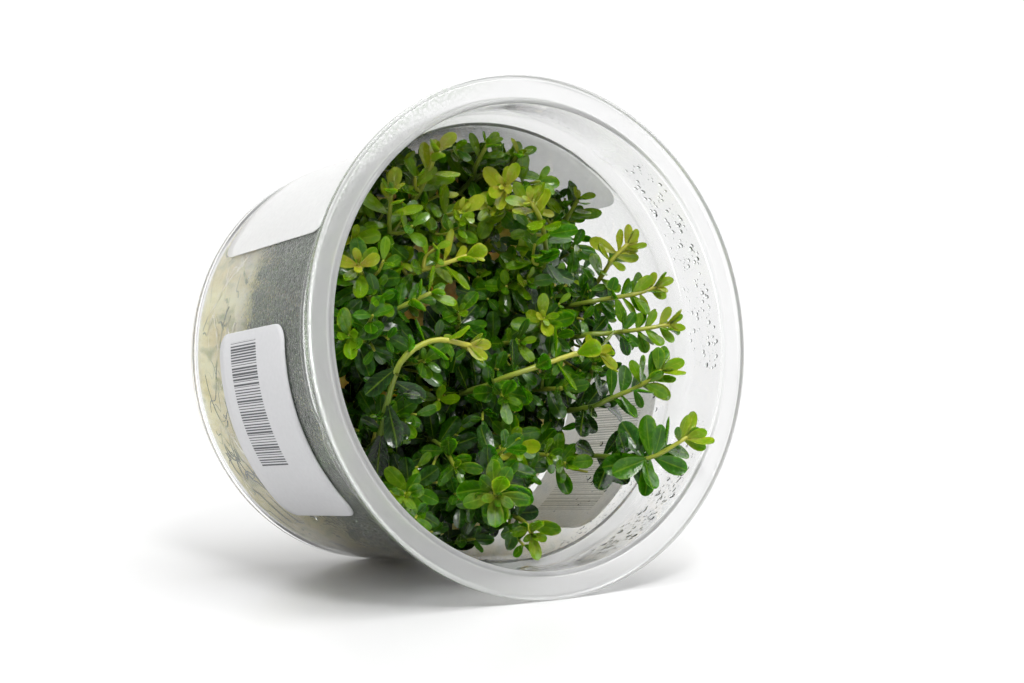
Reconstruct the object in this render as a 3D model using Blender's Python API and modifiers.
"""A tissue-culture cup of dwarf rotala, lying on its side with its mouth open.

Every piece is modelled in the cup's own frame: X across, Y up across the mouth and +Z out of the mouth,
so a depth h below the rim is z = -h. One empty then lays the cup down on its flange and its base corner.
"""

import math

import bmesh
import bpy
import numpy as np
from mathutils import Matrix, Vector
from mathutils.bvhtree import BVHTree

MM = 0.001

# The cup, in millimetres: radii from its axis and depths below the rim
FLANGE_R = 50.0
MOUTH_R = 44.5
RIM_EDGE = 0.3  # the bevel on the flange's front edge
RIM_BAND = 2.0
RIM_BACK_R = 49.74
SKIRT = 0.8
FLANGE_THICK = 1.0
LIP_EDGE = 0.5  # the bevel on the lip inside the mouth
COLLAR_DRAFT = 0.4
COLLAR_R = 45.4
SHOULDER_R = 45.2
SHOULDER_DEPTH = 11.6
LEDGE_R = 43.0
LEDGE_DEPTH = 13.8
INNER_SHOULDER_DEPTH = 11.0
INNER_LEDGE_DEPTH = 13.5
BASE_R = 40.35
CUP_DEPTH = 66.5
BASE_ROUND = 4.3
FOOT_R = 33.6
FOOT_RISE = 0.8
FOOT_EDGE = 1.0
WALL = 0.7
BASE_WALL = 0.8
FLOOR_DEPTH = CUP_DEPTH - FOOT_RISE - BASE_WALL
CUP_SIDES = 36  # a multiple of four, so that a flat side can face straight down

# The mounts: a point on the foot that the cup stands on and one on the flange's face, with the ways they face
MOUNTS = (("stand", (0.0, -34.9, -CUP_DEPTH), (0, 0, -1)), ("lid_seat", (0.0, 47.3, 0.0), (0, 0, 1)))

# The stacking lugs: rounded dimples pressed into the collar just above its ledge
LUG_COUNT = 5
LUG_FIRST_DEG = -18.0
LUG_DEPTH = 10.8
LUG_SIZE = (0.9, 2.6, 2.9)
LUG_HOLLOW = (0.55, 1.6, 1.9)
LUG_SINK = 0.15

# The gel: its face crosses the axis at GEL_DEPTH and is GEL_SLOPE shallower for each mm up
GEL_DEPTH = 44.5
GEL_SLOPE = 0.136
GAP = 0.3
STEM_GAP = 0.5

# The roots that show through the wall: ridges down the gel's side, each with one fork
ROOT_COUNT = 14
ROOT_STAND = 0.5  # how far the gel's side stays back to leave the ridges room
ROOT_SINK = 0.1
ROOT_FROM = 0.6
ROOT_TO = 0.45
ROOT_JITTER_DEG = 8.0
ROOT_DRIFT_DEG = 20.0
ROOT_FORK = 0.35
ROOT_FORK_DEG = (9.0, 18.0)
ROOT_END = (54.0, 60.5)
ROOT_START = 1.0
ROOT_STEPS = 4
ROOT_SEED = 5

# The labels: first and last angle round the wall in degrees, and first and last depth
LABELS = {
    "label_top": (38.5, 148.0, 15.2, 57.0),
    "label_side": (171.5, 226.5, 21.5, 49.5),
    "label_low": (298.0, 352.0, 18.6, 47.0),
}
LABEL_THICK = 0.25
LABEL_CORNER_DEG = 5.0
LABEL_CORNER = 3.6
LABEL_CORNER_TURN = (0.0, 0.29, 1.0)
LABEL_STEP_DEG = 9.0

# The shoots: where each leaves the gel (across, up), then the points that its stem passes (across, up, depth)
SHOOTS = {
    "shoot_top_left": [(-14, 18), (-13, 27, 22), (-12, 32, 16), (-11.5, 37, 12)],
    "shoot_top": [(0, 24), (3, 32, 24), (2, 35, 19), (2.5, 38.5, 15.5)],
    "shoot_top_right": [(7, 24), (8, 31, 25), (9, 34, 19), (9.5, 36.5, 15)],
    "shoot_yellow": [(6, 15), (10, 25, 22), (6, 28.5, 15), (3, 30, 11)],
    "shoot_droop": [(12, 8), (13, 14, 16), (12, 18.5, 12), (8.5, 23, 8), (5.5, 26, 6)],
    "shoot_far_right": [(22, 16), (27, 21, 30), (26.5, 25, 24), (26.5, 28, 20)],
    "shoot_right_up": [(24, 4), (27.5, 8.5, 23), (29, 12, 18), (30, 15.5, 14.5), (32, 18, 12)],
    "shoot_right_mid": [(20, 6), (24, 7, 21), (28, 7.5, 16), (33, 8, 12), (36.5, 9, 10)],
    "shoot_right": [(18, -2), (22.5, 0.5, 18), (26, 0.5, 14), (31, 0.7, 9), (36, 1.2, 6)],
    "shoot_long": [(-6, -10), (-4, -9, 20), (0, -7, 12), (7, -5, 8), (13, -3.5, 6), (17.5, -3.5, 4.5)],
    "shoot_arch": [(-22, -20), (-26, -18, 20), (-28, -11, 11), (-27, -3, 6), (-20, 0.5, 5), (-13, -1, 3.5)],
    "shoot_right_low": [(16, -14), (20, -14, 16), (23, -12.5, 10), (27, -10.5, 5), (30, -8, 2)],
    "shoot_lower_right": [(18, -22), (22, -23.5, 15), (23.5, -25, 6), (26, -24.5, 1), (31, -21.5, -3)],
    "shoot_front": [(-4, -20), (-5, -26, 15), (-9.5, -29.5, 4.5)],
    "shoot_low_tip": [(4, -28), (6, -34, 22), (3.5, -37.5, 12.5)],
    "shoot_left": [(-24, 2), (-28, 2, 20), (-35.5, 2.5, 10)],
    "shoot_left_bud": [(-24, 10), (-26, 12, 20), (-33, 15.5, 8.5)],
    "shoot_left_tip": [(-18, 15), (-20, 20, 20), (-22, 25, 14), (-23, 29, 11)],
    "shoot_left_mid": [(-18, 5), (-25, 6, 17), (-24, 7, 11.5), (-19, 9.5, 6.5)],
    "shoot_bright": [(-12, 10), (-16, 14, 18), (-13.5, 15, 12), (-8.5, 16.5, 8.5)],
    "shoot_mid_left": [(-5, 1), (-6, 3, 20), (-9.5, 6, 12)],
    "shoot_low_left": [(-12, -22), (-18, -26, 22), (-25, -28, 12)],
    "shoot_mid_low": [(-9, -15), (-10, -18, 24), (-13, -23.5, 12)],
    "shoot_bright_low": [(2, -14), (3, -18, 20), (-0.5, -20.5, 9.5)],
    "shoot_low_right": [(12, -22), (15, -24, 24), (14, -24.5, 14)],
    "shoot_mid_right": [(13, 0), (14, 2, 22), (9.5, 4, 11)],
    "shoot_centre": [(2, -4), (1, -8, 20), (-2, -11, 10)],
    "shoot_right_shade": [(24, -10), (27, -10, 26), (25, -5, 17)],
    "shoot_centre_top": [(-6, 16), (-7, 24, 24), (-6.5, 25.5, 13)],
}

# The shoots whose leaves are larger or smaller than the others'
LEAF_SCALE = {
    "shoot_front": 1.22,
    "shoot_lower_right": 1.15,
    "shoot_right_low": 1.05,
    "shoot_left": 1.1,
    "shoot_right": 0.8,
    "shoot_right_mid": 0.8,
    "shoot_right_up": 0.85,
    "shoot_arch": 0.8,
}

# The shoots between those, on a spiral that spaces them evenly; their tips stand further back to the right
FILL_COUNT = 24
FILL_R = 37.5
FILL_TURN_DEG = 137.5
FILL_DEPTH = 15.0
FILL_LEAN = 0.8
FILL_FREE = 19.0
FILL_ROOT = 0.8
FILL_MIDDLE = 0.93
STEM_CLEAR = 3.4
STEM_FROM = 0.62
STEM_TO = 0.4
STEM_SEGMENTS = 4
STEM_BEND_DEG = 24.0

# The leaves, in opposite pairs that turn by a right angle from each to the next
LEAF_LENGTH = 7.2
LEAF_WIDTH = 3.4
LEAF_WIDEST = 0.62
LEAF_KEEL = 0.8
LEAF_DROOP = 0.5
LEAF_ROOT = 0.15
PAIR_SPACING = 4.3
TIP_LEAF = 0.82
TIP_BARE = 0.6
FOOT_BARE = 3.0
TOP_PAIRS = 2
PAIRS = 6
PAIR_DEEPEST = 26.5
SPREAD_TIP_DEG = 42.0
SPREAD_LOW_DEG = 68.0
LEAF_TRIES = ((0.0, 1.0), (22.0, 0.95), (-22.0, 0.95), (0.0, 0.8), (40.0, 0.8), (-40.0, 0.75))
LEAF_CLEAR = 0.35
LEAF_NEAR = 18.0
SEED = 7

COLOURS = {
    "cup": (0.86, 0.88, 0.88),
    "label": (0.93, 0.93, 0.92),
    "gel": (0.78, 0.76, 0.6),
    "shoot": (0.12, 0.3, 0.03),
}


def remove_everything():
    for old in list(bpy.data.objects):
        bpy.data.objects.remove(old, do_unlink=True)


def make_collection(name):
    collection = bpy.data.collections.new(name)
    bpy.context.scene.collection.children.link(collection)
    return collection


def make_material(name, colour, roughness, alpha=1.0):
    material = bpy.data.materials.new(name)
    material.use_nodes = True
    shader = material.node_tree.nodes["Principled BSDF"]
    shader.inputs["Base Color"].default_value = (*colour, 1.0)
    shader.inputs["Roughness"].default_value = roughness
    shader.inputs["Metallic"].default_value = 0.0
    shader.inputs["Alpha"].default_value = alpha
    return material


def add_object(name, mesh, collection, material, parent):
    """Links a mesh that is modelled in the cup's frame, under the empty that lays the cup down."""
    obj = bpy.data.objects.new(name, mesh)
    collection.objects.link(obj)
    obj.parent = parent
    if material:
        mesh.materials.append(material)
    return obj


def mesh_from(name, points, faces):
    mesh = bpy.data.meshes.new(name)
    mesh.from_pydata([tuple(p) for p in points], [], [tuple(f) for f in faces])
    mesh.update()
    return mesh


def hide_cutter(obj):
    obj.hide_render = True
    obj.display_type = "WIRE"


def turned(name, profile, collection, material, parent, sides):
    """A body turned round the cup's axis from (depth, radius) points in mm that go down on the outer side.

    The radii are to the middle of each flat side, so the corners stand a little further out. A flat side is
    turned to face straight down.
    """
    corner = 1.0 / math.cos(math.pi / sides)
    points = [(r * corner * MM, 0.0, -h * MM) for h, r in profile]
    edges = [(i, i + 1) for i in range(len(points) - 1)]
    mesh = bpy.data.meshes.new(name)
    mesh.from_pydata(points, edges, [])
    obj = add_object(name, mesh, collection, material, parent)
    obj.rotation_euler.z = math.pi / sides
    screw = obj.modifiers.new("turn", "SCREW")
    screw.axis = "Z"
    screw.steps = sides
    screw.render_steps = sides
    screw.use_merge_vertices = True
    screw.merge_threshold = 0.0001
    screw.use_smooth_shade = True
    return obj


def arc(centre, radius, first_deg, last_deg, count):
    """Points of an arc as (depth, radius). 0 degrees points out from the axis and 90 towards the base."""
    angles = np.radians(np.linspace(first_deg, last_deg, count))
    return [(centre[0] + radius * math.sin(a), centre[1] + radius * math.cos(a)) for a in angles]


def outer_wall_r(depth):
    """The wall's outer radius: straight from the ledge to the base, where the rounding would reach BASE_R."""
    t = (depth - LEDGE_DEPTH) / (CUP_DEPTH - LEDGE_DEPTH)
    return LEDGE_R + (BASE_R - LEDGE_R) * t


def inner_wall_r(depth):
    """The radius of the free space inside. The shoulder counts as narrow as the ledge."""
    if depth < SHOULDER_DEPTH - WALL:
        return MOUTH_R - COLLAR_DRAFT
    return outer_wall_r(max(depth, LEDGE_DEPTH)) - WALL


def draft_angle():
    return math.atan((LEDGE_R - BASE_R) / (CUP_DEPTH - LEDGE_DEPTH))


def outer_corner():
    """The rounding between the wall and the foot."""
    centre_depth = CUP_DEPTH - BASE_ROUND
    centre_r = outer_wall_r(centre_depth) - BASE_ROUND / math.cos(draft_angle())
    return arc((centre_depth, centre_r), BASE_ROUND, math.degrees(draft_angle()), 90.0, 4)


def inner_corner():
    """The rounding between the floor inside and the wall."""
    radius = BASE_ROUND - WALL
    centre_depth = FLOOR_DEPTH - radius
    centre_r = outer_wall_r(centre_depth) - WALL - radius / math.cos(draft_angle())
    return arc((centre_depth, centre_r), radius, 90.0, math.degrees(draft_angle()), 3)


def cup_profile():
    """Inside from the floor's centre up to the lip, over the flange, and down the outside to the foot."""
    inside = [(FLOOR_DEPTH, 0.0)]
    inside += inner_corner()
    inside += [(INNER_LEDGE_DEPTH, LEDGE_R - WALL), (INNER_SHOULDER_DEPTH, MOUTH_R - COLLAR_DRAFT)]
    inside += [(LIP_EDGE, MOUTH_R), (0.0, MOUTH_R + LIP_EDGE)]
    flange = [(0.0, FLANGE_R - RIM_EDGE), (RIM_EDGE, FLANGE_R), (RIM_BAND, RIM_BACK_R)]
    flange += [(RIM_BAND, FLANGE_R - SKIRT), (FLANGE_THICK, FLANGE_R - SKIRT), (FLANGE_THICK, COLLAR_R)]
    outside = [(SHOULDER_DEPTH, SHOULDER_R), (LEDGE_DEPTH, LEDGE_R)]
    outside += outer_corner()
    base_depth = CUP_DEPTH - FOOT_RISE
    outside += [(CUP_DEPTH, FOOT_R), (base_depth, FOOT_R - FOOT_EDGE), (base_depth, 0.0)]
    return inside + flange + outside


def lay_down_angle():
    """The smallest slope of a line from the flange's back edge down to a corner of the cup's outside."""
    rest = [(h, r) for h, r in cup_profile() if h > LEDGE_DEPTH and r > FOOT_R]
    return min(math.atan((RIM_BACK_R - r) / (h - RIM_BAND)) for h, r in rest)


def make_cup(parts, cutters, frame, material):
    """The cup's moulding, with its lugs: dimples that bulge into the collar and leave a hollow outside."""
    cup = turned("cup", cup_profile(), parts, material, frame, CUP_SIDES)
    lugs = bmesh.new()
    hollows = bmesh.new()
    for i in range(LUG_COUNT):
        angle = math.radians(LUG_FIRST_DEG + i * 360.0 / LUG_COUNT)
        spin = Matrix.Rotation(angle, 4, "Z")
        place = spin @ Matrix.Translation(((SHOULDER_R - WALL) * MM, 0, -LUG_DEPTH * MM))
        bulge = Matrix.Diagonal((*(size * MM for size in LUG_SIZE), 1.0))
        bmesh.ops.create_uvsphere(lugs, u_segments=6, v_segments=5, radius=1.0, matrix=place @ bulge)
        out = spin @ Matrix.Translation(((SHOULDER_R + LUG_SINK) * MM, 0, -LUG_DEPTH * MM))
        notch = Matrix.Diagonal((*(size * MM for size in LUG_HOLLOW), 1.0))
        bmesh.ops.create_uvsphere(hollows, u_segments=5, v_segments=3, radius=1.0, matrix=out @ notch)
    for name, shape, operation in (("lug_bulges", lugs, "UNION"), ("lug_hollows", hollows, "DIFFERENCE")):
        mesh = bpy.data.meshes.new(name)
        shape.to_mesh(mesh)
        shape.free()
        tool = add_object(name, mesh, cutters, None, frame)
        hide_cutter(tool)
        join = cup.modifiers.new(name, "BOOLEAN")
        join.operation = operation
        join.object = tool
    return cup


def make_label(name, first_deg, last_deg, near, far, parts, frame, material):
    """A sticker: a strip of the wall's cone with rounded corners, given its paper's thickness outwards."""
    steps = int(round((last_deg - first_deg - 2 * LABEL_CORNER_DEG) / LABEL_STEP_DEG))
    middle = np.linspace(first_deg + LABEL_CORNER_DEG, last_deg - LABEL_CORNER_DEG, steps + 1)
    turn = np.array(LABEL_CORNER_TURN) * LABEL_CORNER_DEG
    degrees = np.concatenate([first_deg + turn[:-1], middle, last_deg - turn[-2::-1]])
    inset_deg = np.clip(np.minimum(degrees - first_deg, last_deg - degrees), 0.0, LABEL_CORNER_DEG)
    cut = 1.0 - inset_deg / LABEL_CORNER_DEG
    inset = LABEL_CORNER * (1.0 - np.sqrt(1.0 - cut**2))
    lift = GAP + outer_wall_r(near) * (1.0 / math.cos(math.pi / CUP_SIDES) - 1.0)
    points = []
    for degree, corner in zip(degrees, inset):
        for depth in (near + corner, far - corner):
            r = outer_wall_r(depth) + lift
            a = math.radians(degree)
            points.append((r * math.cos(a) * MM, r * math.sin(a) * MM, -depth * MM))
    faces = [(2 * i, 2 * i + 1, 2 * i + 3, 2 * i + 2) for i in range(len(degrees) - 1)]
    label = add_object(name, mesh_from(name, points, faces), parts, material, frame)
    paper = label.modifiers.new("paper", "SOLIDIFY")
    paper.thickness = LABEL_THICK * MM
    paper.offset = 1.0
    return label


def gel_face_depth(up):
    return GEL_DEPTH - GEL_SLOPE * up


def gel_side_r(depth):
    return inner_wall_r(depth) - GAP - ROOT_STAND


def root_path(first_deg, last_deg, near, far):
    """A straight run on the gel's side, wound round the cup, in mm."""
    degrees = np.linspace(first_deg, last_deg, ROOT_STEPS)
    depths = np.linspace(near, far, ROOT_STEPS)
    rows = []
    for degree, depth in zip(degrees, depths):
        r = gel_side_r(depth) - ROOT_SINK
        a = math.radians(degree)
        rows.append((r * math.cos(a), r * math.sin(a), -depth))
    return np.array(rows)


def root_paths():
    """Each root runs down from the gel's face and to one side. Its fork leaves it for the other side."""
    rng = np.random.default_rng(ROOT_SEED)
    paths = []
    for i in range(ROOT_COUNT):
        first = i * 360.0 / ROOT_COUNT + rng.uniform(-ROOT_JITTER_DEG, ROOT_JITTER_DEG)
        drift = rng.uniform(-ROOT_DRIFT_DEG, ROOT_DRIFT_DEG)
        far, fork_far = rng.uniform(*ROOT_END, 2)
        near = gel_face_depth(LEDGE_R * math.sin(math.radians(first))) - ROOT_START
        paths.append(root_path(first, first + drift, near, far))
        fork_near = near + ROOT_FORK * (far - near)
        fork_first = first + ROOT_FORK * drift
        turn = math.copysign(rng.uniform(*ROOT_FORK_DEG), -drift)
        paths.append(root_path(fork_first, fork_first + turn, fork_near, fork_far))
    return paths


def make_roots(gel, cutters, frame):
    """The roots that lie against the wall, grown into the gel's side."""
    roots = bmesh.new()
    for path in root_paths():
        strand = tube("root", path, ROOT_FROM, ROOT_TO, cutters)
        roots.from_mesh(strand)
        bpy.data.meshes.remove(strand)
    mesh = bpy.data.meshes.new("gel_roots")
    roots.to_mesh(mesh)
    roots.free()
    tool = add_object("gel_roots", mesh, cutters, None, frame)
    hide_cutter(tool)
    join = gel.modifiers.new("roots", "BOOLEAN")
    join.operation = "UNION"
    join.object = tool
    join.use_self = True


def make_gel(parts, cutters, frame, material):
    """The gel fills the base up to a slanted face. It stops short of the cup all round."""
    floor_depth = FLOOR_DEPTH - GAP
    top = gel_face_depth(outer_wall_r(0.0))
    corner = [(h - GAP, r - GAP - ROOT_STAND) for h, r in inner_corner()]
    profile = [(top, 0.0), (top, gel_side_r(top))] + corner[::-1]
    profile[-1] = (floor_depth, profile[-1][1])
    profile.append((floor_depth, 0.0))
    gel = turned("gel", profile, parts, material, frame, CUP_SIDES)
    make_roots(gel, cutters, frame)
    above = bmesh.new()
    bmesh.ops.create_cube(above, size=2 * FLANGE_R * MM)
    slope = math.atan(GEL_SLOPE)
    lift = Matrix.Translation((0, 0, (FLANGE_R / math.cos(slope) - GEL_DEPTH) * MM))
    bmesh.ops.transform(above, matrix=lift @ Matrix.Rotation(slope, 4, "X"), verts=above.verts)
    mesh = bpy.data.meshes.new("above_gel")
    above.to_mesh(mesh)
    above.free()
    cutter = add_object("above_gel", mesh, cutters, None, frame)
    hide_cutter(cutter)
    cut = gel.modifiers.new("face", "BOOLEAN")
    cut.operation = "DIFFERENCE"
    cut.object = cutter
    return gel


def smooth_path(points, count):
    """A Catmull-Rom curve through the points, read again at count points that are evenly spaced along it."""
    p = np.vstack([2 * points[0] - points[1], points, 2 * points[-1] - points[-2]])
    t = np.linspace(0.0, 1.0, 12, endpoint=False)[:, None]
    spans = []
    for i in range(len(points) - 1):
        a, b, c, d = p[i], p[i + 1], p[i + 2], p[i + 3]
        bend = 2 * a - 5 * b + 4 * c - d
        twist = 3 * b - a - 3 * c + d
        spans.append(0.5 * (2 * b + (c - a) * t + bend * t**2 + twist * t**3))
    curve = np.vstack(spans + [points[-1:]])
    along = path_lengths(curve)
    even = np.linspace(0.0, along[-1], count)
    return np.stack([np.interp(even, along, curve[:, k]) for k in range(3)], axis=1)


def path_lengths(path):
    """How far along the path each of its points is."""
    return np.concatenate([[0.0], np.cumsum(np.linalg.norm(np.diff(path, axis=0), axis=1))])


def stem_corners(points):
    """How many points a stem needs: more where it bends more."""
    steps = np.diff(smooth_path(points, 40), axis=0)
    steps /= np.linalg.norm(steps, axis=1)[:, None]
    bend = np.degrees(np.arccos(np.clip((steps[1:] * steps[:-1]).sum(axis=1), -1.0, 1.0))).sum()
    return STEM_SEGMENTS + 1 + int(bend / STEM_BEND_DEG)


def stem_points(root, through):
    """The stem's points in mm in the cup's frame, from just above the gel to the tip."""
    start = (root[0], root[1], gel_face_depth(root[1]) - STEM_GAP)
    rows = np.array([start] + [tuple(p) for p in through], float)
    rows[:, 2] *= -1.0
    return rows


def fill_shoots(taken):
    """Further shoots on a spiral, left out where a stem would come too near one that is there already."""
    found = {}
    paths = list(taken)
    for i in range(FILL_COUNT):
        r = FILL_R * math.sqrt((i + 0.6) / FILL_COUNT)
        a = math.radians(i * FILL_TURN_DEG)
        across = r * math.cos(a)
        up = r * math.sin(a)
        tip = max(FILL_DEPTH, FILL_DEPTH + FILL_LEAN * (across - FILL_FREE))
        root = (across * FILL_ROOT, up * FILL_ROOT)
        middle = (across * FILL_MIDDLE, up * FILL_MIDDLE, 0.5 * (tip + GEL_DEPTH))
        points = stem_points(root, [middle, (across, up, tip)])
        path = smooth_path(points, 24)
        near = min(np.linalg.norm(path[:, None] - other[None], axis=2).min() for other in paths)
        if near > STEM_CLEAR:
            paths.append(path)
            found[f"shoot_fill_{len(found) + 1:02d}"] = points
    return found


def tube(name, path, first_r, last_r, collection):
    """A tapering square-sided tube along the path, made a closed mesh."""
    curve = bpy.data.curves.new(name, "CURVE")
    curve.dimensions = "3D"
    curve.bevel_depth = MM
    curve.bevel_resolution = 0
    curve.use_fill_caps = True
    spline = curve.splines.new("POLY")
    spline.points.add(len(path) - 1)
    for point, place, radius in zip(spline.points, path, np.linspace(first_r, last_r, len(path))):
        point.co = (*(place * MM), 1.0)
        point.radius = radius
    guide = bpy.data.objects.new(name + "_guide", curve)
    collection.objects.link(guide)
    bpy.context.view_layer.update()
    evaluated = guide.evaluated_get(bpy.context.evaluated_depsgraph_get())
    mesh = bpy.data.meshes.new_from_object(evaluated)
    bpy.data.objects.remove(guide, do_unlink=True)
    mesh.name = name
    body = bmesh.new()
    body.from_mesh(mesh)
    bmesh.ops.remove_doubles(body, verts=body.verts, dist=0.00001)
    bmesh.ops.recalc_face_normals(body, faces=body.faces)
    body.to_mesh(mesh)
    body.free()
    return mesh


def side_vector(tangents):
    """Across or up, whichever the stem never runs along."""
    axes = np.eye(3)[:2]
    return min(axes, key=lambda axis: np.abs(tangents @ axis).max())


def leaf_solid(base, ahead, normal, length, extra=0.0):
    """A keeled blade of five corners: foot, two widest points, tip and keel, all in mm."""
    across = np.cross(normal, ahead)
    half = LEAF_WIDTH * length / LEAF_LENGTH / 2 + extra
    widest = base + ahead * length * LEAF_WIDEST + normal * extra
    foot = base - ahead * (LEAF_ROOT - extra)
    tip = base + ahead * (length + extra) - normal * LEAF_DROOP
    keel = widest - normal * (LEAF_KEEL + 2 * extra)
    points = np.array([foot, widest + across * half, widest - across * half, tip, keel])
    faces = [(0, 2, 1), (1, 2, 3), (0, 1, 4), (1, 3, 4), (3, 2, 4), (2, 0, 4)]
    return points, faces


def inside_cup(points):
    """True where every corner is clear of the wall and of the gel."""
    for across, up, z in points:
        if math.hypot(across, up) > inner_wall_r(-z) - LEAF_CLEAR:
            return False
        if -z > gel_face_depth(up) - LEAF_CLEAR:
            return False
    return True


class Shoot:
    """One rotala stem: its path, its frame along the path and the leaves that it has so far."""

    def __init__(self, name, points, rng):
        self.name = name
        self.path = smooth_path(points, stem_corners(points))
        ends = path_lengths(self.path)
        self.along = np.linspace(0.0, ends[-1], 201)
        self.fine = np.stack([np.interp(self.along, ends, self.path[:, k]) for k in range(3)], axis=1)
        tangents = np.gradient(smooth_path(points, 201), axis=0)
        self.tangents = tangents / np.linalg.norm(tangents, axis=1)[:, None]
        self.side = side_vector(self.tangents)
        self.size = LEAF_SCALE.get(name, 1.0)
        self.turn = rng.uniform(0.0, math.pi)
        self.leaves = []

    def leaf_at(self, pair, twin, tweak_deg, scale, extra=0.0):
        """The leaf of a pair, counted from the tip; twin is 0 or 1."""
        back = TIP_BARE + PAIR_SPACING * pair
        i = int(np.argmin(np.abs(self.along - (self.along[-1] - back))))
        tangent = self.tangents[i]
        side = np.cross(tangent, self.side)
        side /= np.linalg.norm(side)
        other = np.cross(tangent, side)
        angle = self.turn + math.pi * (0.5 * pair + twin) + math.radians(tweak_deg)
        outward = math.cos(angle) * side + math.sin(angle) * other
        share = min(pair / 2.0, 1.0)
        spread = math.radians(SPREAD_TIP_DEG + (SPREAD_LOW_DEG - SPREAD_TIP_DEG) * share)
        ahead = math.cos(spread) * tangent + math.sin(spread) * outward
        normal = math.sin(spread) * tangent - math.cos(spread) * outward
        length = LEAF_LENGTH * self.size * scale * (TIP_LEAF if pair == 0 else 1.0)
        return leaf_solid(self.fine[i], ahead, normal, length, extra)

    def deep(self, pair):
        """True where the pair would be too far below the canopy, or off the stem's lower end."""
        back = TIP_BARE + PAIR_SPACING * pair
        if back > self.along[-1] - FOOT_BARE:
            return True
        i = int(np.argmin(np.abs(self.along - (self.along[-1] - back))))
        return pair >= TOP_PAIRS and -self.fine[i][2] > PAIR_DEEPEST


def grow_leaves(shoots, stems):
    """Gives the shoots their leaves, tips first, and leaves out each one that would touch another shoot."""
    placed = []
    for pair in range(PAIRS):
        for shoot in shoots:
            if shoot.deep(pair):
                continue
            for twin in (0, 1):
                for tweak, scale in LEAF_TRIES:
                    fat, faces = shoot.leaf_at(pair, twin, tweak, scale, LEAF_CLEAR)
                    if not inside_cup(fat[1:]):
                        continue
                    tree = BVHTree.FromPolygons(fat.tolist(), faces)
                    near = [leaf for leaf in placed if np.linalg.norm(leaf[2] - fat[1]) < LEAF_NEAR]
                    others = [leaf[1] for leaf in near if leaf[0] != shoot.name]
                    others += [stem for name, stem in stems.items() if name != shoot.name]
                    if any(tree.overlap(other) for other in others):
                        continue
                    points, faces = shoot.leaf_at(pair, twin, tweak, scale)
                    shoot.leaves.append(points)
                    placed.append((shoot.name, BVHTree.FromPolygons(points.tolist(), faces), points[1]))
                    break


def make_shoots(parts, cutters, frame, material):
    """Each stem with its leaves joined to it as one body."""
    rng = np.random.default_rng(SEED)
    rows = {name: stem_points(row[0], row[1:]) for name, row in SHOOTS.items()}
    rows.update(fill_shoots([smooth_path(points, 24) for points in rows.values()]))
    shoots = [Shoot(name, points, rng) for name, points in rows.items()]
    meshes = {shoot.name: tube(shoot.name, shoot.path, STEM_FROM, STEM_TO, cutters) for shoot in shoots}
    stems = {}
    for name, mesh in meshes.items():
        corners = [tuple(v.co / MM) for v in mesh.vertices]
        stems[name] = BVHTree.FromPolygons(corners, [tuple(p.vertices) for p in mesh.polygons])
    grow_leaves(shoots, stems)
    faces = leaf_solid(np.zeros(3), np.array([1.0, 0, 0]), np.array([0, 0, 1.0]), LEAF_LENGTH)[1]
    for shoot in shoots:
        stem = add_object(shoot.name, meshes[shoot.name], parts, material, frame)
        points = np.vstack(shoot.leaves) * MM
        corners = [tuple(5 * i + k for k in face) for i in range(len(shoot.leaves)) for face in faces]
        blades = mesh_from(shoot.name + "_blades", points, corners)
        blades = add_object(blades.name, blades, cutters, None, frame)
        hide_cutter(blades)
        join = stem.modifiers.new("leaves", "BOOLEAN")
        join.operation = "UNION"
        join.object = blades
        join.use_self = True
    return shoots


def lay_down(frame, solids):
    """Tips everything over on its side, with the middle of the footprint at the origin."""
    frame.rotation_euler.x = math.pi / 2 - lay_down_angle()
    bpy.context.view_layer.update()
    graph = bpy.context.evaluated_depsgraph_get()
    finished = [solid.evaluated_get(graph) for solid in solids]
    corners = np.array([body.matrix_world @ v.co for body in finished for v in body.data.vertices])
    low = corners.min(axis=0)
    high = corners.max(axis=0)
    frame.location = (-(low[0] + high[0]) / 2, -(low[1] + high[1]) / 2, -low[2])
    bpy.context.view_layer.update()


def main():
    remove_everything()
    parts = make_collection("rotala_cup")
    cutters = make_collection("cutters")
    frame = bpy.data.objects.new("cup_frame", None)
    parts.objects.link(frame)
    make_cup(parts, cutters, frame, make_material("clear_polypropylene", COLOURS["cup"], 0.25, 0.35))
    paper = make_material("sticker_paper", COLOURS["label"], 0.5)
    for name, (first_deg, last_deg, near, far) in LABELS.items():
        make_label(name, first_deg, last_deg, near, far, parts, frame, paper)
    make_gel(parts, cutters, frame, make_material("nutrient_gel", COLOURS["gel"], 0.2, 0.6))
    shoots = make_shoots(parts, cutters, frame, make_material("rotala_leaf", COLOURS["shoot"], 0.35))
    lay_down(frame, [solid for solid in parts.objects if solid.type == "MESH"])
    print("turned by", round(math.degrees(frame.rotation_euler.x), 3), [round(v, 6) for v in frame.location])
    for name, place, way in MOUNTS:
        point = frame.matrix_world @ (Vector(place) * MM)
        normal = frame.matrix_world.to_3x3() @ Vector(way)
        print(name, [round(v, 6) for v in point], [round(v, 6) for v in normal])
    print(len(shoots), "shoots with", sum(len(s.leaves) for s in shoots), "leaves")


main()
